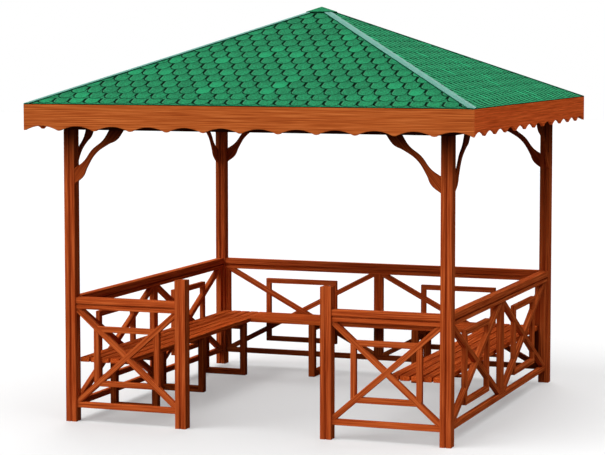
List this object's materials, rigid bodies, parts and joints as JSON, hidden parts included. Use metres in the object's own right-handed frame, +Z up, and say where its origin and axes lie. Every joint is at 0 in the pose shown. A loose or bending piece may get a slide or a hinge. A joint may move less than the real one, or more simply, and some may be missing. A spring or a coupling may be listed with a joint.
{
  "type": "garden gazebo",
  "caption": "Square open timber garden gazebo: shingled pyramid roof, scalloped fascia, curved braces, lattice balustrade and slatted benches on the inside",
  "frame": {"origin": "centre of the plan at ground level, under the apex", "axes": "+X runs to the right along the entrance side, +Y runs from the entrance to the back, +Z up"},
  "size_m": [3.636, 3.636, 3.301],
  "materials": {
    "post_timber": "amber brown stain, satin, straight grain",
    "rail_timber": "amber brown stain, satin, straight grain",
    "lattice_timber": "amber brown stain, satin",
    "brace_timber": "amber brown stain, satin",
    "beam_timber": "amber brown stain, satin",
    "fascia_timber": "amber brown stain, satin, grain along the board",
    "rafter_timber": "amber brown stain, satin",
    "bench_timber": "amber brown stain, satin, grain along the slat",
    "roof_shingle": "green scalloped shingles on a boarded deck, matte",
    "hip_trim": "pale mint green paint, satin"
  },
  "bodies": {
    "root": {"apex_cap": "hip_trim", "bottom_rail_back": "rail_timber", "bottom_rails_front": "rail_timber", "bottom_rails_left_right": "rail_timber", "braces_back_left": "brace_timber", "braces_back_right": "brace_timber", "braces_front_left": "brace_timber", "braces_front_right": "brace_timber", "common_rafters": "rafter_timber", "fascias_front_back": "fascia_timber", "fascias_left_right": "fascia_timber", "hip_rafters": "rafter_timber", "hip_strips": "hip_trim", "jack_rafters": "rafter_timber", "king_block": "rafter_timber", "lattice_back_left": "lattice_timber", "lattice_back_right": "lattice_timber", "lattice_front_left": "lattice_timber", "lattice_front_right": "lattice_timber", "lattice_left_back": "lattice_timber", "lattice_left_front": "lattice_timber", "lattice_right_back": "lattice_timber", "lattice_right_front": "lattice_timber", "leg_frames_back": "bench_timber", "leg_frames_left": "bench_timber", "newel_left": "post_timber", "newel_right": "post_timber", "post_back_left": "post_timber", "post_back_right": "post_timber", "post_front_left": "post_timber", "post_front_right": "post_timber", "roof_slope_back": "roof_shingle", "roof_slope_front": "roof_shingle", "roof_slope_left": "roof_shingle", "roof_slope_right": "roof_shingle", "seat_back": "bench_timber", "seat_bearers_right": "bench_timber", "seat_left": "bench_timber", "seat_right": "bench_timber", "top_beams_front_back": "beam_timber", "top_beams_left_right": "beam_timber", "top_rail_back": "rail_timber", "top_rails_front": "rail_timber", "top_rails_left_right": "rail_timber"}
  },
  "joints": []
}
